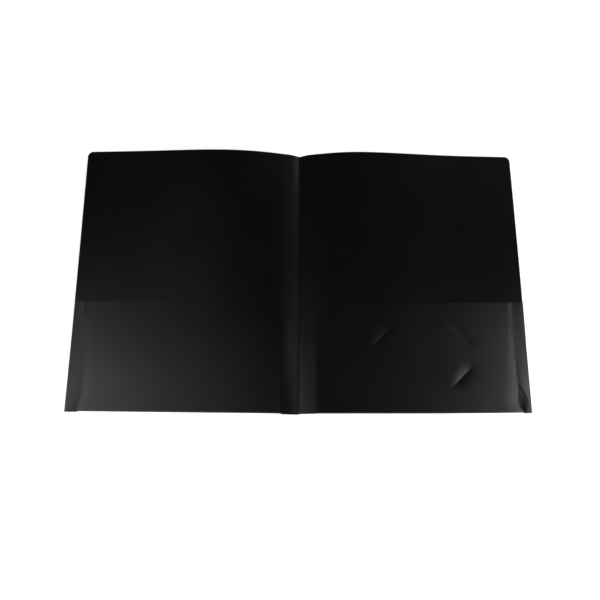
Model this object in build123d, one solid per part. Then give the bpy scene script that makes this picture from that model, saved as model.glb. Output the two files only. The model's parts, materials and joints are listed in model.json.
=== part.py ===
from build123d import *
import os
from math import cos, radians, sin, tan

# A two pocket folder, die-cut from one black plastic sheet, creased, folded and spot welded.
# It lies open. X runs across both covers with the crease at zero, Y runs up the page with
# zero at half the height, and Z is up from the table. Lengths are in millimetres.

# Sheet and covers
sheet_thickness = 0.45
cover_width = 241.3
cover_height = 298.45
corner_radius = 6.0

# Crease web, which stands between the covers as a narrow spine when the folder is closed
spine_width = 4.0
hinge_gap = 0.04
hinge_bevel_share = 0.55
score_width = 0.8
score_depth = 0.15

# Pockets, folded up from the bottom edge and standing a little open
pocket_height = 118.5
pocket_setback = 18.5
pocket_inset = 13.0
pocket_taper = 3.0
pocket_heel_flare = 4.0
pocket_heel_height = 14.0
pocket_corner_cut = 34.0
pocket_clearance = 1.0
pocket_tilt = 3.0
bottom_fold_setback = 0.6
bottom_fold_relief_angle = 1.0

# Side flaps, folded in from the outer edges under the pockets
flap_overlap = 9.0
flap_foot_height = 6.0
flap_foot_rise = 24.0
flap_bulge_share = 0.45

# Spot welds between each pocket and its flap
weld_count = 4
weld_diameter = 4.0
weld_gap = 0.1
weld_end_margin = 7.0

# Card slits in the right pocket, one across each corner of a business card
card_centre_from_crease = 130.0
card_centre_height = 62.0
slit_spacing_across = 85.0
slit_spacing_up = 42.0
slit_length = 36.0
slit_width = 0.5
slit_angle = 45.0
cut_overrun = 1.0

# Places that follow from the sizes above
bottom_edge = -cover_height / 2
top_edge = cover_height / 2
sheet_middle = sheet_thickness / 2
hinge_line = spine_width / 2
hinge_bevel = sheet_thickness * hinge_bevel_share
pocket_outer_edge = cover_width - pocket_inset
fold_outer_end = pocket_outer_edge + pocket_heel_flare
mouth_edge = bottom_edge + pocket_height
fold_inner_radius = pocket_clearance / 2
fold_outer_radius = fold_inner_radius + sheet_thickness
fold_y = bottom_edge + bottom_fold_setback + fold_outer_radius
fold_z = sheet_thickness + fold_inner_radius
fold_axis = Axis((0, fold_y, fold_z), (1, 0, 0))
pocket_underside = sheet_thickness + pocket_clearance
flap_topside = pocket_underside - weld_gap
flap_underside = flap_topside - sheet_thickness
flap_inner_edge = pocket_outer_edge - flap_overlap
flap_foot = bottom_edge + flap_foot_height
flap_heel = flap_foot + flap_foot_rise
upward = (0, 0, 1)


def panel(points, underside):
    """A flat piece of the sheet with the given outline, lying at the given height."""
    outline = make_face(Polyline(*points, close=True))
    return extrude(Pos(0, 0, underside) * outline, amount=sheet_thickness, dir=upward)


def bar_along_y(points):
    """A bar of the whole cover height whose cross-section is given in X and Z."""
    section = Plane.XZ * make_face(Polyline(*points, close=True))
    return extrude(section, amount=cover_height / 2, both=True)


def opened(piece):
    """The piece turned about the bottom fold, from pressed flat to standing open."""
    return piece.rotate(fold_axis, pocket_tilt)


def cover():
    """Right cover: pointed along its hinge line, notched for the bottom fold, one round corner."""
    near = hinge_line + hinge_gap / 2
    slab = bar_along_y([
        (near, sheet_middle),
        (near + hinge_bevel, 0),
        (cover_width, 0),
        (cover_width, sheet_thickness),
        (near + hinge_bevel, sheet_thickness),
    ])
    outline = make_face(Polyline(
        (0, bottom_edge),
        (pocket_setback, bottom_edge),
        (pocket_setback, fold_y),
        (fold_outer_end, fold_y),
        (fold_outer_end, bottom_edge),
        (cover_width, bottom_edge),
        (cover_width, top_edge),
        (0, top_edge),
        close=True,
    ))
    corner = outline.vertices().group_by(Axis.X)[-1].sort_by(Axis.Y)[-1]
    blank = extrude(fillet(corner, corner_radius), amount=sheet_thickness, dir=upward)
    return slab & blank


def spine_crease():
    """Crease web: pointed along both hinge lines, with one pressed score on its inner face."""
    far = hinge_line - hinge_gap / 2
    flat = far - hinge_bevel
    return bar_along_y([
        (-far, sheet_middle),
        (-flat, 0),
        (flat, 0),
        (far, sheet_middle),
        (flat, sheet_thickness),
        (score_width / 2, sheet_thickness),
        (0, sheet_thickness - score_depth),
        (-score_width / 2, sheet_thickness),
        (-flat, sheet_thickness),
    ])


def pocket_fold():
    """Right bottom fold: part of a ring round the fold axis, from the cover to the pocket."""
    arc_end = 180 - pocket_tilt - bottom_fold_relief_angle

    def rim(radius, angle):
        return (fold_y - radius * sin(radians(angle)), fold_z - radius * cos(radians(angle)))

    def arc(radius):
        return ThreePointArc(rim(radius, 0), rim(radius, arc_end / 2), rim(radius, arc_end))

    ends = [Line(rim(fold_inner_radius, a), rim(fold_outer_radius, a)) for a in (0, arc_end)]
    section = make_face([arc(fold_inner_radius), arc(fold_outer_radius), *ends])
    length = fold_outer_end - pocket_setback
    return extrude(Plane.YZ.offset(pocket_setback) * section, amount=length, dir=(1, 0, 0))


def pocket():
    """Right pocket panel, pressed flat: inner top corner cut off, outer edge flared at its heel."""
    return panel([
        (pocket_setback, fold_y),
        (fold_outer_end, fold_y),
        (pocket_outer_edge, fold_y + pocket_heel_height),
        (pocket_outer_edge + pocket_taper, mouth_edge),
        (pocket_setback + pocket_corner_cut, mouth_edge),
        (pocket_setback, mouth_edge - pocket_corner_cut),
    ], pocket_underside)


def card_slits():
    """Cutters for the four slits, each square to the diagonal of its card corner."""
    centre = Pos(card_centre_from_crease, bottom_edge + card_centre_height, pocket_underside)
    depth = sheet_thickness + cut_overrun
    slits = []
    for across in (-1, 1):
        for up in (-1, 1):
            corner = Pos(across * slit_spacing_across / 2, up * slit_spacing_up / 2, 0)
            slit = Rot(0, 0, -across * up * slit_angle) * Box(slit_length, slit_width, 2 * depth)
            slits.append(centre * corner * slit)
    return slits


def side_flap():
    """Right side flap, pressed flat: level with the mouth, with a slanted foot."""
    return panel([
        (cover_width, flap_foot),
        (cover_width, mouth_edge),
        (flap_inner_edge, mouth_edge),
        (flap_inner_edge, flap_heel),
        (pocket_outer_edge, flap_heel),
    ], flap_underside)


def opened_height(pressed_height, y):
    """Height, with the pocket open, of a level that is given with the pocket pressed flat."""
    tilt = radians(pocket_tilt)
    return fold_z + (y - fold_y) * tan(tilt) + (pressed_height - fold_z) / cos(tilt)


def flap_fold():
    """Right flap fold: a loop from the cover's edge to the flap's, ruled from foot to mouth."""
    foot_gap = opened_height(flap_underside, flap_foot) - sheet_thickness
    inner_bulge = foot_gap * flap_bulge_share
    sections = []
    for y in (flap_foot, mouth_edge):
        inner = (sheet_thickness, opened_height(flap_underside, y))
        outer = (0, opened_height(flap_topside, y))

        def arc(levels, bulge):
            low, high = levels
            peak = (cover_width + bulge, (low + high) / 2)
            return ThreePointArc((cover_width, low), peak, (cover_width, high))

        ends = [Line((cover_width, a), (cover_width, b)) for a, b in zip(inner, outer)]
        edges = [arc(inner, inner_bulge), arc(outer, inner_bulge + sheet_thickness), *ends]
        sections.append(Plane.XZ.offset(-y) * make_face(edges))
    return loft(sections, ruled=True)


def pocket_welds():
    """Right weld spots, pressed flat: thin round nuggets down the middle of the overlap."""
    run = mouth_edge - flap_heel - 2 * weld_end_margin
    spot = Cylinder(weld_diameter / 2, weld_gap, align=(Align.CENTER, Align.CENTER, Align.MIN))
    spots = []
    for index in range(weld_count):
        y = mouth_edge - weld_end_margin - run * index / (weld_count - 1)
        spots.append(Pos(pocket_outer_edge - flap_overlap / 2, y, flap_topside) * spot)
    return Compound(children=spots)


def on_left(piece):
    """The same piece on the left half of the folder."""
    return mirror(piece, about=Plane.YZ)


right_cover = cover()
right_pocket_fold = pocket_fold()
right_side_flap = opened(side_flap())
right_flap_fold = flap_fold()
right_pocket_welds = opened(pocket_welds())

nodes = {
    "left_cover": on_left(right_cover),
    "right_cover": right_cover,
    "spine_crease": spine_crease(),
    "left_pocket": on_left(opened(pocket())),
    "right_pocket": opened(pocket() - card_slits()),
    "left_pocket_fold": on_left(right_pocket_fold),
    "right_pocket_fold": right_pocket_fold,
    "left_side_flap": on_left(right_side_flap),
    "right_side_flap": right_side_flap,
    "left_flap_fold": on_left(right_flap_fold),
    "right_flap_fold": right_flap_fold,
    "left_pocket_welds": on_left(right_pocket_welds),
    "right_pocket_welds": right_pocket_welds,
}

os.makedirs("parts", exist_ok=True)
for name, piece in nodes.items():
    export_step(piece, f"parts/{name}.step")
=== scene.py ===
"""Look of the two pocket folder: one black satin plastic sheet, creased, folded and spot welded."""
import json
import math
import bpy
import numpy as np
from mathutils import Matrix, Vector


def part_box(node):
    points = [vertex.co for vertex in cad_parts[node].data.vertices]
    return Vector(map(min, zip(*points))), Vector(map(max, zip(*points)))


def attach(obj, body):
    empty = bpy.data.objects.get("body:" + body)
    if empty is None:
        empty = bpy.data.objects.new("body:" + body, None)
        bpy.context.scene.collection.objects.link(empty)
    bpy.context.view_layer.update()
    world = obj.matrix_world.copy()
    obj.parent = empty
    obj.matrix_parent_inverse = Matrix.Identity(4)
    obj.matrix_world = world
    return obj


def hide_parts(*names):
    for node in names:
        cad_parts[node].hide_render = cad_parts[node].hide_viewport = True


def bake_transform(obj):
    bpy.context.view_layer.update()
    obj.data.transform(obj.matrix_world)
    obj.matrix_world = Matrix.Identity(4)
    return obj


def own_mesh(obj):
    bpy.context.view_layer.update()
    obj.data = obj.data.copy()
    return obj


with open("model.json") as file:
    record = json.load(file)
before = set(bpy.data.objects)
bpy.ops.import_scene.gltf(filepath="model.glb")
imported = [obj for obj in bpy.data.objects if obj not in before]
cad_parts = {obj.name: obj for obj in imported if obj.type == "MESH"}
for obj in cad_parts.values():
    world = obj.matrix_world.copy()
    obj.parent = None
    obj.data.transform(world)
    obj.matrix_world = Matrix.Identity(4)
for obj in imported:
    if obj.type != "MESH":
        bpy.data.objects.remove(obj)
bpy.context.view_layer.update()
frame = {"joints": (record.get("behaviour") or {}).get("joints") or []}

MM = 0.001
SIDES = {"left": -1, "right": 1}

# Places that the frame gives, in metres
cover_low, cover_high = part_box("right_cover")
web_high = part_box("spine_crease")[1]
pocket_low, pocket_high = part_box("right_pocket")
flap_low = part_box("right_side_flap")[0]
weld_low, weld_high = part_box("right_pocket_welds")
press = next(j for j in frame["joints"] if j["name"] == "right_pocket_press")

sheet = cover_high.z - cover_low.z
bottom = cover_low.y
top = cover_high.y
page = top - bottom
cover_edge = cover_high.x
crease_half = web_high.x
setback = pocket_low.x
fold_y = press["pos_m"][1]
fold_z = press["pos_m"][2]
fold_radius = fold_z - sheet / 2
pocket_tilt = math.radians(-press["range_deg"][0])
pocket_foot_z = fold_z + fold_radius
flap_foot = flap_low.y
mouth = fold_y + (pocket_high.y - fold_y) / math.cos(pocket_tilt)

# Sizes that repeat the part's own
corner_radius = 6 * MM
corner_cut = 34 * MM
slit_length = 36 * MM
weld_count = 4

# Where the card slits lie, within 2 mm of the part's own
card_centre = (131 * MM, bottom + 61.5 * MM)
slit_spacing = (83 * MM, 43 * MM)

# How the covers lie: heights in mm at places across from the crease and up from the bottom edge
lay_across = np.array([0, 6, 13, 18, 26, 45, 90, 160, 241.3]) * MM
lay_up = np.array([0, 60, 118.5, 200, 298.45]) * MM
lay_heights = {
    "left": np.array([
        [0, 0.80, 1.36, 1.66, 1.8, 1.85, 1.4, 0.6, 0.0],
        [0, 1.05, 2.2, 2.8, 3.1, 3.1, 2.2, 0.9, 0.3],
        [0, 1.20, 2.5, 3.3, 4.1, 4.4, 3.7, 2.0, 1.4],
        [0, 1.40, 2.8, 3.7, 4.7, 6.3, 7.4, 5.1, 3.3],
        [0, 2.40, 4.2, 5.4, 7.2, 11.0, 14.6, 11.0, 6.5],
    ]) * MM,
    "right": np.array([
        [0, 0.85, 1.7, 2.2, 2.4, 2.2, 1.3, 0.4, 0.0],
        [0, 0.90, 1.8, 2.4, 2.7, 2.6, 1.7, 0.6, 0.4],
        [0, 0.90, 1.85, 2.5, 3.3, 3.7, 2.9, 1.5, 2.2],
        [0, 1.50, 2.7, 3.4, 4.2, 5.2, 5.1, 3.0, 2.9],
        [0, 2.40, 4.1, 5.2, 6.7, 10.0, 10.6, 4.9, 1.6],
    ]) * MM,
}
# Radius that softens the bend at the crease
crease_rounding = 0.8 * MM

# How far the sheet's ends are off straight: below the crease, at the right corner, at the right
# of the crease up to the pocket, and above the crease
bottom_sag = 2 * MM
corner_rise = 1 * MM
tab_rise, tab_blend = 0.7 * MM, 1 * MM
crease_dip, crease_dip_reach = 0.9 * MM, 7 * MM

# How far each cover's bottom corner curls up: from its reach inside the outer edge to its crest,
# back to nothing at the edge, and fading out over its height
corner_curl = {"left": 0.0 * MM, "right": 0.45 * MM}
curl_reach, curl_crest, curl_height = 12 * MM, 4 * MM, 22 * MM

# How far the pockets stand open: heights in mm at shares across from the inner edge and up
open_across = np.array([0, 0.3, 0.6, 0.85, 1])
open_up = np.array([0, 0.3, 0.65, 1])
open_heights = {
    "left": np.array([
        [0.0, 0.0, 0.0, 0.0, 0.0],
        [1.0, 1.65, 2.0, 2.0, 1.8],
        [1.7, 2.75, 3.25, 3.25, 2.95],
        [2.0, 3.15, 3.8, 3.85, 3.6],
    ]) * MM,
    "right": np.array([
        [0.0, 0.0, 0.0, 0.0, 0.0],
        [0.5, 0.9, 1.3, 1.4, 1.25],
        [1.1, 2.2, 2.9, 3.15, 3.1],
        [1.8, 3.6, 5.1, 6.0, 6.25],
    ]) * MM,
}

# How far in from the cover's edge each pocket's outer edge runs, at heights above the bottom fold
edge_up = np.array([0, 5, 20, 40, 60, 84, 118.5]) * MM
edge_insets = {
    "left": np.array([13.3, 14.5, 17.2, 17.4, 16.6, 16.2, 11.5]) * MM,
    "right": np.array([8.5, 12.0, 12.8, 13.0, 14.0, 14.8, 15.0]) * MM,
}
# How far each pocket rolls down at its outer edge and how far in that reaches, at the fold and at
# the mouth. The depth goes from one to the other with a power of the height, plus one wave
edge_rolls = {"left": (0.28 * MM, -0.12 * MM), "right": (0.50 * MM, 0.10 * MM)}
edge_roll_power = {"left": 2.0, "right": 0.5}
edge_roll_wave = {"left": 0.0 * MM, "right": 0.06 * MM}
edge_roll_reach = {"left": (10 * MM, 6 * MM), "right": (18 * MM, 3.5 * MM)}
# How far the weld spots sit in from the part's own
weld_shift = {"left": 2.3 * MM, "right": 0.0 * MM}


def smooth(low, high, value):
    """Nothing below low, one above high, and three t squared less two t cubed between."""
    t = np.clip((value - low) / (high - low), 0, 1)
    return t * t * (3 - 2 * t)


def between(ends, share):
    """The value at a share of the way from the first of two ends to the second."""
    return ends[0] + (ends[1] - ends[0]) * share


def spline_weights(knots, places):
    """Share of each knot in a natural cubic spline at each place. A knot's bend comes from the
    usual three-term equations, and a place takes cubic shares of the two knots beside it."""
    count = len(knots)
    step = np.diff(knots)
    left = np.eye(count)
    right = np.zeros((count, count))
    for i in range(1, count - 1):
        left[i, i - 1:i + 2] = step[i - 1], 2 * (step[i - 1] + step[i]), step[i]
        right[i, i - 1:i + 2] = 6 / step[i - 1], -6 / step[i - 1] - 6 / step[i], 6 / step[i]
    bend = np.linalg.solve(left, right)
    places = np.clip(places, knots[0], knots[-1])
    i = np.clip(np.searchsorted(knots, places, side="right") - 1, 0, count - 2)
    span = step[i][:, None]
    before = (knots[i + 1] - places)[:, None]
    after = (places - knots[i])[:, None]
    unit = np.eye(count)
    curved = (bend[i] * before ** 3 + bend[i + 1] * after ** 3) / (6 * span)
    from_left = (unit[i] / span - bend[i] * span / 6) * before
    from_right = (unit[i + 1] / span - bend[i + 1] * span / 6) * after
    return curved + from_left + from_right


def through_table(across, up, table, x, y):
    """Smooth surface through a table of heights: cubic splines across, then up through them."""
    shape = np.broadcast(x, y).shape
    x = np.broadcast_to(x, shape).ravel()
    y = np.broadcast_to(y, shape).ravel()
    rows = spline_weights(up, y)
    columns = spline_weights(across, x)
    return np.einsum("ni,ij,nj->n", rows, table, columns).reshape(shape)


def lay(side, d, y):
    """Height of a cover's middle above the table: half the sheet plus the table of heights, with
    the distance from the crease rounded to the root of d squared plus r squared, less r."""
    rounded = np.sqrt(d * d + crease_rounding ** 2) - crease_rounding
    return sheet / 2 + through_table(lay_across, lay_up, lay_heights[side], rounded, y - bottom)


def curled_lay(side, d, y):
    """The lay with the bottom corner's curl: a ridge of two smooth steps that fades upwards."""
    rise = smooth(cover_edge - curl_reach, cover_edge - curl_crest, d)
    fall = smooth(cover_edge - curl_crest, cover_edge, d)
    fade = 1 - smooth(bottom, bottom + curl_height, y)
    return lay(side, d, y) + corner_curl[side] * (rise - fall) * fade


def weld_places():
    """The weld spots' distance from the crease, their heights on the page, evenly spaced from the
    lowest to the highest, and their radius."""
    radius = (weld_high.x - weld_low.x) / 2
    ys = np.linspace(weld_low.y + radius, weld_high.y - radius, weld_count)
    return (weld_low.x + weld_high.x) / 2, ys, radius


# Pressed grooves that the welds leave beside the pocket's outer edge, from the lowest to the highest
groove_depths = {
    "left": np.array([0.05, 0.06, 0.02, 0.05]) * MM,
    "right": np.array([0.04, 0.05, 0.03, 0.03]) * MM,
}
groove_inset, groove_half_width, groove_half_length = 2 * MM, 0.6 * MM, 5 * MM
# How far in from its inner edge a pocket bends less than the cover
bench_reach = 15 * MM


def pocket_outer(side, y):
    """Where a pocket's outer edge runs: flared out to the fold, then smoothly up to the mouth."""
    y = np.asarray(y, float)
    insets = spline_weights(edge_up, y.ravel() - fold_y) @ edge_insets[side]
    return cover_edge - insets.reshape(y.shape)


def pocket_height(side, d, y):
    """Height of a pocket's middle: the cover's lay, plus the height of the bottom fold, plus the
    table of openings, less a parabola that rolls the outer edge down, less a groove at each weld:
    a bell curve across and a flat-topped one along. The roll's depth goes from the fold's to the
    mouth's with a power of the height, plus one sine wave. Beside its inner edge the pocket bends
    less than the cover: the lay is taken on a parabola that starts level."""
    outer = pocket_outer(side, y)
    share = (d - setback) / (outer - setback)
    up = (y - fold_y) / (mouth - fold_y)
    opening = through_table(open_across, open_up, open_heights[side], share, up)
    inward = np.clip(d - setback, 0, bench_reach)
    bench = d + (inward - bench_reach) ** 2 / (2 * bench_reach)
    across = np.exp(-((outer - d - groove_inset) / groove_half_width) ** 2)
    along = np.exp(-((y[..., None] - weld_places()[1]) / groove_half_length) ** 4)
    grooves = across * (along * groove_depths[side]).sum(-1)
    reach = between(edge_roll_reach[side], up)
    risen = np.clip(up, 0, 1)
    depth = between(edge_rolls[side], risen ** edge_roll_power[side])
    depth = depth + edge_roll_wave[side] * np.sin(2 * np.pi * risen)
    roll = depth * np.clip(1 - (outer - d) / reach, 0, 1) ** 2
    return lay(side, bench, y) - sheet / 2 + pocket_foot_z + opening - roll - grooves


def runs(*stops):
    """Lines between stops: each pair of stops is joined by steps of the size given after it."""
    lines = [np.array([stops[0]])]
    for start, step, end in zip(stops[0::2], stops[1::2], stops[2::2]):
        count = max(1, int(round((end - start) / step)))
        lines.append(np.linspace(start, end, count + 1)[1:])
    return np.concatenate(lines)


def grid_faces(ids, left_ids=None):
    """Four-cornered faces between neighbouring grid points. left_ids may differ along a cut."""
    left = ids[:-1] if left_ids is None else left_ids
    right = ids[1:]
    return np.stack([left[:, :-1], right[:, :-1], right[:, 1:], left[:, 1:]], -1).reshape(-1, 4)


def end_shift(x, y):
    """How far a point moves along the page. Near the bottom the sheet sags evenly towards the
    crease, its right corner rises with the fourth power of x, and it is cut back to the right of
    the crease. Near the top it dips at the crease as a bell curve. Both fade out at the mouth."""
    right = smooth(-crease_half, crease_half, x)
    low = -bottom_sag * (1 - np.abs(x) / cover_edge) + corner_rise * right * (x / cover_edge) ** 4
    low = low + tab_rise * right * (1 - smooth(setback - tab_blend, setback, x))
    high = -crease_dip * np.exp(-(x / crease_dip_reach) ** 2)
    return low * (1 - smooth(bottom, mouth, y)) + high * smooth(mouth, top, y)


# Edges sharper than this are kept crisp
crisp_angle = math.radians(50)


def sheet_piece(name, points, faces, side, even=True):
    """A piece of the sheet: its middle surface as a mesh, given the sheet's thickness and
    crisp cut edges. On the left X is turned over, and so is the order round each face. A fold's
    wall isn't evened, because where a pressed loop turns sharply that grows spikes."""
    points = points.reshape(-1, 3).copy()
    if SIDES[side] < 0:
        points[:, 0] *= -1
        faces = faces[:, ::-1]
    points[:, 1] += end_shift(points[:, 0], points[:, 1])
    mesh = bpy.data.meshes.new(name)
    mesh.vertices.add(len(points))
    mesh.vertices.foreach_set("co", points.ravel())
    mesh.loops.add(faces.size)
    mesh.loops.foreach_set("vertex_index", np.ascontiguousarray(faces).ravel())
    mesh.polygons.add(len(faces))
    mesh.polygons.foreach_set("loop_start", np.arange(len(faces)) * 4)
    mesh.polygons.foreach_set("use_smooth", np.ones(len(faces), bool))
    mesh.update(calc_edges=True)
    mesh.validate()
    piece = bpy.data.objects.new(name, mesh)
    bpy.context.scene.collection.objects.link(piece)
    wall = piece.modifiers.new("sheet_thickness", "SOLIDIFY")
    wall.thickness = sheet
    wall.offset = 0
    wall.use_even_offset = even
    wall.material_offset_rim = 1
    crisp = piece.modifiers.new("crisp_edges", "EDGE_SPLIT")
    crisp.split_angle = crisp_angle
    return piece


# How far each flap's fold is set in from the cover's edge
fold_recess = {"left": 0.45 * MM, "right": 0.0 * MM}
# Grid lines on the covers and the crease: how far apart they are beside the crease, over the tab
# between the crease and the pocket, over the page, beside the outer edge and up the page. The
# first run ends at crease_band, a step in the edge takes twice notch, and one in the rows end_row
crease_step, tab_step, page_step, edge_step = 0.6 * MM, 1.0 * MM, 2.4 * MM, 1.6 * MM
row_step, end_row = 2.6 * MM, 0.8 * MM
foot_step = 1 * MM
crease_band = 12 * MM
notch = 0.3 * MM
corner_lines = 9
web_lines = 33


def cover_piece(side):
    """A cover: lines across run from the crease to the outer edge, which turns round the top
    corner on a quarter circle and is set in a little along the flap's fold, and lines up run
    from the bottom edge, which is stepped back where the pocket's fold leaves it. Heights are
    the lay."""
    fold_end = cover_edge - edge_insets[side][0]
    d = runs(crease_half, crease_step, crease_band, tab_step, setback - notch, 2 * notch,
             setback + notch, page_step, fold_end - notch, 2 * notch, fold_end + notch, edge_step,
             cover_edge)
    turn = np.linspace(0, np.pi / 2, corner_lines)
    corner_start = top - corner_radius
    foot = bottom + foot_up[side][0]
    rows = runs(bottom, foot_step, foot, end_row, foot + end_row, row_step, mouth, end_row,
                mouth + end_row, row_step, corner_start)
    y = np.concatenate([rows[:-1], corner_start + corner_radius * np.sin(turn)])
    d, y = np.meshgrid(d, y, indexing="ij")
    into_corner = np.clip(y - corner_start, 0, corner_radius)
    edge = cover_edge - corner_radius + np.sqrt(corner_radius ** 2 - into_corner ** 2)
    edge = edge - np.where((y > foot) & (y <= mouth), fold_recess[side], 0)
    outward = smooth(fold_end, cover_edge, d)
    edge = np.where(y < corner_start, cover_edge + (edge - cover_edge) * outward, edge)
    d = crease_half + (d - crease_half) * (edge - crease_half) / (cover_edge - crease_half)
    at_fold = (d > setback) & (d < fold_end)
    start = np.where(at_fold, fold_y, bottom)
    y = top - (top - y) * (top - start) / page
    points = np.stack([d, y, curled_lay(side, d, y)], -1)
    ids = np.arange(d.size).reshape(d.shape)
    return sheet_piece(f"{side}_cover_sheet", points, grid_faces(ids), side)


# The score down the middle of the crease
score_depth, score_reach = 0.04 * MM, 0.5 * MM


def crease_piece():
    """The crease web: lines across run from cover to cover, at the lay of the cover they are
    nearest, less a narrow score down the middle that fades as a bell curve."""
    x = np.linspace(-crease_half, crease_half, web_lines)
    y = runs(bottom, row_step, top)
    x, y = np.meshgrid(x, y, indexing="ij")
    z = np.where(x < 0, lay("left", np.abs(x), y), lay("right", np.abs(x), y))
    z = z - score_depth * np.exp(-(x / score_reach) ** 2)
    ids = np.arange(x.size).reshape(x.shape)
    return sheet_piece("crease_web", np.stack([x, y, z], -1), grid_faces(ids), "right")


# Half of a slit's reach across and up, how far beside it the pocket's lines lean, how far it
# stays from the next one's rows, and how much shorter its doubled points are
slit_half = slit_length / 2 * math.sin(math.radians(45))
lean_reach = 24 * MM
slit_margin = 0.5 * MM
slit_end = 0.1 * MM
# Grid lines on the pockets: how far apart they are over the corner cut, over the panel, up the
# slits, in the outer band and in the rim at the outer edge. The outer edge's own line moves
# the lines within edge_shift_reach
cut_step, panel_step, slit_step, band_step, rim_step = 1.2 * MM, 1.6 * MM, 1.4 * MM, 1 * MM, 0.3 * MM
outer_band, rim_band = 12 * MM, 5 * MM
edge_shift_reach = 36 * MM
# Each slit: across and up from the card's centre and lean, then for its inner and its outer lip the
# dip, the reach, how much the reach widens and how much the dip grows towards the slit's top
card_slits = [
    (-1, 1, 1, (0.42 * MM, 12.5 * MM, 0.5, -0.2), (0.28 * MM, 10 * MM, 0.0, -0.3)),
    (1, -1, 1, (0.47 * MM, 11 * MM, 0.45, 0.35), (0.46 * MM, 12 * MM, 0.0, -0.65)),
    (1, 1, -1, (0.19 * MM, 9 * MM, 0.3, 0.8), (0.19 * MM, 10 * MM, 0.0, -0.8)),
    (-1, -1, -1, (0.06 * MM, 9 * MM, 0.0, 0.5), (0.07 * MM, 9 * MM, 0.0, -0.5)),
]


def lip_dip(along, from_cut, lip):
    """How far a slit's lip dips: a skewed parabola along the cut times a parabola away from it
    whose reach widens along the cut."""
    dip, reach, widening, skew = lip
    share = np.clip(2 * along / slit_length, -1, 1)
    inside = (1 - share ** 2) * (1 + skew * share)
    return dip * inside * np.clip(1 - np.abs(from_cut) / (reach * (1 + widening * share)), 0, 1) ** 2


def pocket_piece(side):
    """A pocket: lines up run from the bottom fold to the mouth, and stop short along the corner
    cut. On the right, lines across lean beside each slit by the height above its middle times a
    bell curve, so that one line follows the cut; its points are doubled between the slit's ends,
    and both lips dip towards the cut."""
    slits = card_slits if side == "right" else []
    middle_a, middle_b = card_centre
    half_a, half_b = slit_spacing[0] / 2, slit_spacing[1] / 2
    widest = cover_edge - edge_insets[side].min()
    a_lines = runs(setback, cut_step, setback + corner_cut, panel_step, middle_a - half_a,
                   panel_step, middle_a + half_a, panel_step, widest - outer_band, band_step,
                   widest - rim_band, rim_step, widest)
    b_lines = runs(fold_y, panel_step, middle_b - half_b - slit_half, slit_step,
                   middle_b - half_b + slit_half, slit_step, middle_b + half_b - slit_half,
                   slit_step, middle_b + half_b + slit_half, panel_step, mouth)
    a, b = np.meshgrid(a_lines, b_lines, indexing="ij")
    d = a.copy()
    for across, up, lean, *_ in slits:
        along = b - (middle_b + up * half_b)
        fade = 1 - smooth(slit_half + slit_margin, half_b - slit_margin, np.abs(along))
        beside = a - (middle_a + across * half_a)
        d += lean * along * fade * np.exp(-(beside / lean_reach) ** 2)
    cut_line = mouth - np.clip(setback + corner_cut - d, 0, None)
    y = fold_y + (b - fold_y) * (cut_line - fold_y) / (mouth - fold_y)
    d += (pocket_outer(side, y) - widest) * smooth(widest - edge_shift_reach, widest, a)
    z = pocket_height(side, d, y)
    ids = np.arange(a.size).reshape(a.shape)
    left_ids = ids[:-1].copy()
    outer_lips = []
    for across, up, lean, inner_lip, outer_lip in slits:
        from_middle = d - (middle_a + across * half_a)
        above_middle = y - (middle_b + up * half_b)
        along = (lean * from_middle + above_middle) / math.sqrt(2)
        from_cut = (from_middle - lean * above_middle) / math.sqrt(2)
        inner = lip_dip(along, from_cut, inner_lip)
        outer = lip_dip(along, from_cut, outer_lip)
        i = int(np.argmin(np.abs(a_lines - (middle_a + across * half_a))))
        opened = np.abs(b_lines - (middle_b + up * half_b)) < slit_half - slit_end
        cut = np.flatnonzero(opened)
        left_ids[i, cut] = a.size + sum(map(len, outer_lips)) + np.arange(len(cut))
        outer_lips.append(np.stack([d[i, cut], y[i, cut], z[i, cut] - outer[i, cut]], -1))
        z[:i + 1] -= inner[:i + 1]
        z[i + 1:] -= outer[i + 1:]
    points = np.concatenate([np.stack([d, y, z], -1).reshape(-1, 3), *outer_lips])
    return sheet_piece(f"{side}_pocket_sheet", points, grid_faces(ids, left_ids), side)


# Grid lines on the folds: how far apart they are along a fold, and how many go round each kind
fold_step = 2 * MM
bottom_fold_lines = 15
flap_fold_lines = 13


def bottom_fold_piece(side):
    """A bottom fold: half an ellipse about the fold's line, from the cover up to the pocket,
    carried from the pocket's inner edge to its outer one."""
    d = runs(setback, fold_step, cover_edge - edge_insets[side][0])
    turn = np.linspace(0, np.pi, bottom_fold_lines)
    d, turn = np.meshgrid(d, turn, indexing="ij")
    along = np.full_like(d, fold_y)
    low = lay(side, d, along)
    high = pocket_height(side, d, along)
    y = fold_y - fold_radius * np.sin(turn)
    z = (low + high) / 2 - (high - low) / 2 * np.cos(turn)
    ids = np.arange(d.size).reshape(d.shape)
    faces = grid_faces(ids)[:, ::-1]
    return sheet_piece(f"{side}_bottom_fold", np.stack([d, y, z], -1), faces, side, even=False)


# The line of each flap's foot: heights above the bottom edge, the last where it goes under the
# pocket, and how far in from the cover's edge it is at the heights before that
foot_up = {"left": np.array([0.8, 2.5]) * MM, "right": np.array([1.0, 12.5, 23, 32]) * MM}
foot_insets = {"left": np.array([12.0]) * MM, "right": np.array([0.8, 2.3, 6.0]) * MM}
# How far the flap falls from the pocket's edge to its own fold, at the foot and at the mouth
strip_fall = {"left": (-0.2 * MM, 0.55 * MM), "right": (0.35 * MM, -0.3 * MM)}
# How far each flap stands up in the middle of the part that shows, at the foot and at the mouth
strip_crown = {"left": (0.08 * MM, 0.0 * MM), "right": (0.20 * MM, 0.0 * MM)}
crown_height = 75 * MM
# How far the flap's fold stands out, and how far it leans in for each unit that it rises
loop_bulge = 0.25 * MM
loop_lean_share = 0.28
# The gap between a flap and its pocket, and the rise in which a flap steps under the pocket
flap_clearance = 0.1 * MM
heel_step = 1.5 * MM
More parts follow.
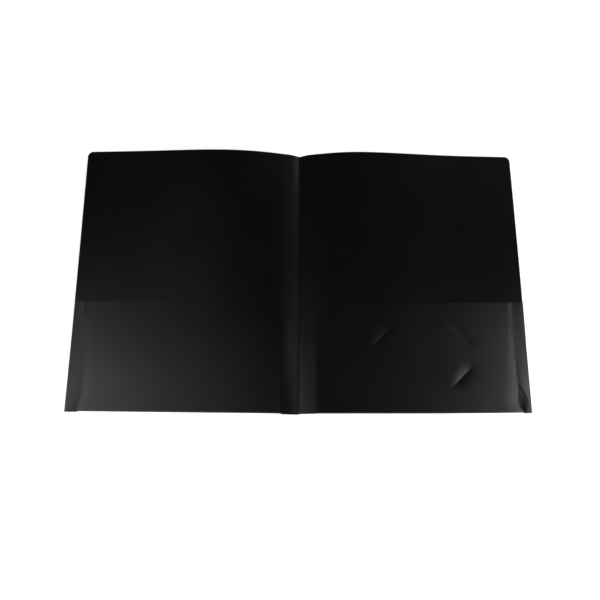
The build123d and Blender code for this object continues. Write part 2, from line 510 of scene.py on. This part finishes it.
# Grid lines on the flaps
flap_lines = 23
flap_step = 1.2 * MM


def flap_top(side, d, y):
    """Height of a flap under its pocket: the pocket's, less the sheet and a small clearance."""
    return pocket_height(side, np.minimum(d, pocket_outer(side, y)), y) - sheet - flap_clearance


def loop_ends(side, y):
    """The flap fold's two ends: the cover's height at its edge, and the flap's, which is level
    with its height at the pocket's edge less a fall that changes evenly from foot to mouth."""
    fall = between(strip_fall[side], (y - flap_foot) / (mouth - flap_foot))
    edge = np.full_like(y, cover_edge)
    return curled_lay(side, edge, y), flap_top(side, edge, y) - fall


def flap_piece(side):
    """A side flap: lines run in from the fold at the cover's edge to the flap's own edge, which
    runs in from the foot to the heel and then steps under the pocket. Heights run smoothly from
    the fold's to a little under the pocket's, with a low arch where the flap shows."""
    slant = bottom + foot_up[side]
    foot, heel = slant[0], slant[-1]
    inner_x = [*(cover_edge - foot_insets[side]), pocket_outer(side, heel), flap_low.x, flap_low.x]
    inner_y = [*slant, heel + heel_step, mouth]
    share = np.linspace(0, 1, flap_lines)
    y = runs(foot, flap_step, mouth)
    share, y = np.meshgrid(share, y, indexing="ij")
    low, high = loop_ends(side, y)
    start = cover_edge - fold_recess[side] - loop_lean_share * (high - low)
    d = start - share * (start - np.interp(y, inner_y, inner_x))
    shown = np.clip((start - d) / (start - pocket_outer(side, y)), 0, 1)
    crown = between(strip_crown[side], smooth(foot, foot + crown_height, y))
    z = high + (flap_top(side, d, y) - high) * smooth(0, 1, shown) + crown * 4 * shown * (1 - shown)
    ids = np.arange(d.size).reshape(d.shape)
    faces = grid_faces(ids)[:, ::-1]
    return sheet_piece(f"{side}_flap_sheet", np.stack([d, y, z], -1), faces, side)


def flap_fold_piece(side):
    """A flap's fold: half an ellipse standing out from the cover's edge, from the cover up to
    the flap, leaning in as it rises, carried from the foot to the mouth."""
    turn = np.linspace(0, np.pi, flap_fold_lines)
    y = runs(bottom + foot_up[side][0], fold_step, mouth)
    turn, y = np.meshgrid(turn, y, indexing="ij")
    low, high = loop_ends(side, y)
    rise = (1 - np.cos(turn)) / 2 * (high - low)
    d = cover_edge - fold_recess[side] + loop_bulge * np.sin(turn) - loop_lean_share * rise
    ids = np.arange(d.size).reshape(d.shape)
    points = np.stack([d, y, low + rise], -1)
    return sheet_piece(f"{side}_flap_fold", points, grid_faces(ids), side, even=False)


# A weld spot's section, as shares of its radius and of half its thickness, which is the gap
# between flap and pocket and a little sunk into both
spot_section = np.array([
    [0.02, -0.7], [0.6, -0.8], [0.9, -1], [1, 0], [0.9, 1], [0.6, 0.8], [0.02, 0.7]])
spot_sunk = 0.16 * MM
spot_lines = 24


def weld_piece(side):
    """The weld spots: each is a flat button turned about its own line, a rounded rim between
    two faces that sink slightly into the pocket and the flap."""
    x, ys, radius = weld_places()
    x = x - weld_shift[side]
    turn = np.linspace(0, 2 * np.pi, spot_lines + 1)[:-1]
    half = (flap_clearance + spot_sunk) / 2
    out = spot_section[:, 0] * radius
    points, faces = [], []
    for y in ys:
        spot_z = pocket_height(side, np.array([x]), np.array([y]))[0]
        z = spot_z - sheet / 2 - flap_clearance / 2 + spot_section[:, 1] * half
        ring = np.stack([
            x + out[:, None] * np.cos(turn),
            y + out[:, None] * np.sin(turn),
            np.broadcast_to(z[:, None], (len(out), len(turn))),
        ], -1)
        ids = np.arange(out.size * turn.size).reshape(out.size, turn.size)
        ids = np.concatenate([ids, ids[:, :1]], 1) + sum(map(len, points))
        points.append(ring.reshape(-1, 3))
        faces.append(grid_faces(ids)[:, ::-1])
    piece = sheet_piece(f"{side}_weld_spots", np.concatenate(points), np.concatenate(faces), side)
    piece.modifiers.clear()
    return piece


class Reading:
    """A value in a finish's nodes. Arithmetic on it adds Math nodes to the same finish."""

    def __init__(self, finish, socket):
        self.finish = finish
        self.socket = socket

    def _math(self, operation, *values):
        return self.finish.add("ShaderNodeMath", {"operation": operation}, dict(enumerate(values)))

    def __add__(self, other):
        return self._math("ADD", self, other)

    def __sub__(self, other):
        return self._math("SUBTRACT", self, other)

    def __rsub__(self, other):
        return self._math("SUBTRACT", other, self)

    def __mul__(self, other):
        return self._math("MULTIPLY", self, other)

    def __rpow__(self, other):
        return self._math("POWER", other, self)

    def at_least(self, other):
        return self._math("MAXIMUM", self, other)

    __radd__ = __add__
    __rmul__ = __mul__


class Finish:
    """A material, a light or the world, with its nodes emptied and one method that adds a node."""

    def __init__(self, owner, kind="ShaderNodeOutputMaterial"):
        owner.use_nodes = True
        self.owner = owner
        self.tree = owner.node_tree
        self.tree.nodes.clear()
        self.end = self.tree.nodes.new(kind)

    def add(self, kind, settings=None, sockets=None, out=0):
        node = self.tree.nodes.new(kind)
        for name, value in (settings or {}).items():
            setattr(node, name, value)
        for name, value in (sockets or {}).items():
            if isinstance(value, Reading):
                self.tree.links.new(value.socket, node.inputs[name])
            else:
                node.inputs[name].default_value = value
        return Reading(self, node.outputs[out])

    def mix(self, share, first, second):
        settings = {"data_type": "RGBA", "clamp_factor": True}
        return self.add("ShaderNodeMix", settings, {0: share, 6: first, 7: second}, out=2)

    def step(self, low, high, value):
        settings = {"interpolation_type": "SMOOTHSTEP"}
        return self.add("ShaderNodeMapRange", settings, {"Value": value, 1: low, 2: high})

    def noise(self, place, scale, detail):
        return self.add("ShaderNodeTexNoise", {}, {"Vector": place, "Scale": scale, "Detail": detail})

    def close(self, surface):
        self.tree.links.new(surface.socket, self.end.inputs["Surface"])


# The plastic's tint and refraction
cool_tint = (0.97, 1.0, 1.0)
plastic_ior = 1.49
# Slow clouding of the colour and of the gloss: waves to a metre, and its share of each
cloud_scale, cloud_share, cloud_dullness = 22.0, 0.15, 0.06
# Hairline rubs: long thin noise at a slant, where it starts and ends, and what it does
rub_scale, rub_turn = (9.0, 420.0, 9.0), (0, 0, 0.5)
rub_start, rub_end = 0.66, 0.8
rub_share, rub_lightness, rub_dullness = 0.25, 2.2, 0.05
# The pressed grain: waves to a metre, strength and depth
grain_scale, grain_strength, grain_depth = 2400.0, 0.12, 0.03 * MM


def grey(level):
    """A neutral colour of the given level, very slightly cool."""
    return (*(level * share for share in cool_tint), 1.0)


def black_plastic(name, level, roughness, grain=1.0):
    """Black plastic sheet: a fine pressed grain as bump, slow clouding of the colour and the
    gloss, and a few hairline rubs that are a little lighter and duller."""
    finish = Finish(bpy.data.materials.new(name))
    place = finish.add("ShaderNodeTexCoord", out="Object")
    cloud = finish.noise(place, cloud_scale, 3.0)
    along = finish.add("ShaderNodeMapping", {}, {
        "Vector": place, "Rotation": rub_turn, "Scale": rub_scale})
    rubs = finish.step(rub_start, rub_end, finish.noise(along, 1.0, 3.0))
    sand = finish.noise(place, grain_scale, 2.0)
    dark, light = grey(level * (1 - cloud_share)), grey(level * (1 + cloud_share))
    colour = finish.mix(cloud, dark, light)
    colour = finish.mix(rubs * rub_share, colour, grey(level * rub_lightness))
    dullness = roughness + (cloud - 0.5) * cloud_dullness + rubs * rub_dullness
    bump = finish.add("ShaderNodeBump", {}, {
        "Strength": grain_strength * grain, "Distance": grain_depth, "Height": sand})
    surface = finish.add("ShaderNodeBsdfPrincipled", {}, {
        "Base Color": colour, "Roughness": dullness, "IOR": plastic_ior, "Normal": bump})
    finish.close(surface)
    return finish.owner


satin = black_plastic("satin_black_sheet", 0.0020, 0.18)
folded = black_plastic("folded_black_sheet", 0.0024, 0.18, grain=0.7)
cut_edge = black_plastic("cut_edge", 0.0075, 0.5, grain=1.5)
welded = black_plastic("weld_spots", 0.005, 0.22, grain=0.3)


def finished(piece, material):
    """Gives a piece its finish, with cut edges in the second place."""
    piece.data.materials.append(material)
    piece.data.materials.append(cut_edge)
    return piece


# Places for pressing every piece flat as the folder closes: covers and folds would go straight down,
# and what rides on a pocket square to the open pocket. They are only worked out here; no piece is
# moved
open_anchor_y = fold_y - fold_radius * math.sin(pocket_tilt)
open_anchor_z = fold_z + fold_radius * math.cos(pocket_tilt)
flap_drop = sheet + flap_clearance
pressed_loop_z = (sheet / 2 + fold_z + fold_radius - flap_drop) / 2


def under_pocket(drop):
    """A point square below the open pocket's middle plane, beside the bottom fold."""
    return (0, open_anchor_y + drop * math.sin(pocket_tilt),
            open_anchor_z - drop * math.cos(pocket_tilt))


flap_anchor = under_pocket(flap_drop)
spot_anchor = under_pocket(flap_drop / 2)

web = finished(crease_piece(), folded)
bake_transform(web)
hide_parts("spine_crease")

for side in SIDES:
    cover = finished(cover_piece(side), satin)
    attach(cover, f"{side}_cover")
    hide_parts(f"{side}_cover")
    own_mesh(cover)

    fold = finished(bottom_fold_piece(side), folded)
    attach(fold, f"{side}_cover")
    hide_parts(f"{side}_pocket_fold")
    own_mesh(fold)

    loop = finished(flap_fold_piece(side), folded)
    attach(loop, f"{side}_cover")
    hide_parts(f"{side}_flap_fold")
    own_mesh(loop)

    pocket = finished(pocket_piece(side), satin)
    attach(pocket, f"{side}_pocket")
    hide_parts(f"{side}_pocket")
    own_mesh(pocket)

    flap = finished(flap_piece(side), satin)
    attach(flap, f"{side}_pocket")
    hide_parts(f"{side}_side_flap")
    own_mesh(flap)

    spots = finished(weld_piece(side), welded)
    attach(spots, f"{side}_pocket")
    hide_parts(f"{side}_pocket_welds")
    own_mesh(spots)


def softbox(name, place, size, aim, radiance):
    """A rectangular soft light that faces a point. Its power is its radiance times pi times its
    area."""
    lamp = bpy.data.lights.new(name, "AREA")
    lamp.shape = "RECTANGLE"
    lamp.size, lamp.size_y = size
    lamp.energy = radiance * math.pi * size[0] * size[1]
    holder = bpy.data.objects.new(name, lamp)
    bpy.context.scene.collection.objects.link(holder)
    holder.location = place
    back = np.array(place) - np.array(aim)
    back = back / np.linalg.norm(back)
    tilt = math.acos(back[2])
    turn = math.atan2(back[1], back[0]) + math.pi / 2 if tilt > 1e-6 else 0.0
    holder.rotation_euler = (tilt, 0, turn)
    return holder


def fading_softbox(name, low, high, height, radiance, full_x, fade_x, full_y, dark_y, least=0.0):
    """A soft light that hangs level between two corners and faces down. It is brightest beyond
    full_x, falls off exponentially with the distance from there towards the middle, and dims to its
    least share by a smooth step from full_y to dark_y towards the back."""
    width, depth = high[0] - low[0], high[1] - low[1]
    place = ((low[0] + high[0]) / 2, (low[1] + high[1]) / 2, height)
    holder = softbox(name, place, (width, depth), (place[0], place[1], 0), radiance)
    glow = Finish(holder.data, "ShaderNodeOutputLight")
    spot = glow.add("ShaderNodeTexCoord", out="UV")
    x = low[0] + width * glow.add("ShaderNodeSeparateXYZ", {}, {0: spot}, out="X")
    y = low[1] + depth * glow.add("ShaderNodeSeparateXYZ", {}, {0: spot}, out="Y")
    inward = (x - full_x) * (1 if full_x < 0 else -1)
    level = math.exp(-1 / fade_x) ** inward.at_least(0.0)
    level = level * (1 - (1 - least) * glow.step(full_y, dark_y, y))
    colour = glow.mix(level, (0, 0, 0, 1), (1, 1, 1, 1))
    glow.close(glow.add("ShaderNodeEmission", {}, {"Color": colour, "Strength": 1.0}))


# Lights, in metres. The side one's full_y is behind its far end, so it doesn't dim to the back
fading_softbox("left_softbox", low=(-2.4, -1.8), high=(0.15, 1.05), height=2.5, radiance=1.70,
               full_x=-0.95, fade_x=0.31, full_y=0.05, dark_y=0.92)
fading_softbox("right_softbox", low=(0.15, -1.8), high=(3.2, 2.6), height=2.5, radiance=3.2,
               full_x=1.16, fade_x=0.18, full_y=0.0, dark_y=0.88, least=0.035)
fading_softbox("side_softbox", low=(1.4, 0.9), high=(3.2, 2.6), height=2.6, radiance=0.40,
               full_x=2.15, fade_x=0.15, full_y=3.0, dark_y=4.0)
softbox("front_softbox", place=(0, -2.05, 2.2), size=(3.6, 2.7), aim=(0, 0, 0), radiance=2.0)
softbox("back_softbox", place=(0, 3.6, 1.1), size=(8.0, 2.0), aim=(0, 0, 0.3), radiance=0.6)

# The room: its level at the horizon and overhead, and the upward shares between which it dims
horizon_level, zenith_level = 0.3, 0.025
dim_from, dim_to = 0.35, 0.6
white = (1, 1, 1, 1)
world = bpy.data.worlds.new("studio")
bpy.context.scene.world = world
studio = Finish(world, "ShaderNodeOutputWorld")
upward = studio.add("ShaderNodeSeparateXYZ", {}, {
    0: studio.add("ShaderNodeTexCoord", out="Generated")}, out="Z")
overhead = studio.step(dim_from, dim_to, upward)
room = studio.mix(overhead, (horizon_level,) * 3 + (1,), (zenith_level,) * 3 + (1,))
seen = studio.add("ShaderNodeLightPath", out="Is Camera Ray")
room = studio.mix(seen, room, white)
studio.close(studio.add("ShaderNodeBackground", {}, {"Color": room, "Strength": 1.0}))

# The floor: half its side, how far it lies below the sheet, its colour, and what it adds where it
# is seen straight or in a reflection
floor_half, floor_drop = 14.0, 0.05 * MM
floor_colour = (0.8, 0.8, 0.8, 1)
floor_lift = (0.5, 0.5, 0.5, 1)
floor_mesh = bpy.data.meshes.new("floor")
corners = [(-floor_half, -floor_half), (floor_half, -floor_half), (floor_half, floor_half),
           (-floor_half, floor_half)]
floor_mesh.from_pydata([(x, y, -floor_drop) for x, y in corners], [], [(0, 1, 2, 3)])
floor = bpy.data.objects.new("floor", floor_mesh)
bpy.context.scene.collection.objects.link(floor)
pale = Finish(bpy.data.materials.new("pale_floor"))
seen_straight = pale.add("ShaderNodeLightPath", out="Is Camera Ray")
seen_reflected = pale.add("ShaderNodeLightPath", out="Is Glossy Ray")
matt = pale.add("ShaderNodeBsdfDiffuse", {}, {"Color": floor_colour})
lift = pale.mix(seen_straight + seen_reflected, (0, 0, 0, 1), floor_lift)
glow = pale.add("ShaderNodeEmission", {}, {"Color": lift, "Strength": 1.0})
pale.close(pale.add("ShaderNodeAddShader", {}, {0: matt, 1: glow}))
floor_mesh.materials.append(pale.owner)

camera_data = bpy.data.cameras.new("camera")
camera_data.sensor_width = 36.0
camera_data.lens = 48.60
camera = bpy.data.objects.new("camera", camera_data)
bpy.context.scene.collection.objects.link(camera)
camera.location = (-5.1 * MM, -312.7 * MM, 827.9 * MM)
camera.rotation_euler = (math.radians(19.11), math.radians(-0.5), math.radians(0.203))
bpy.context.scene.camera = camera
bpy.context.scene.view_settings.view_transform = "Standard"
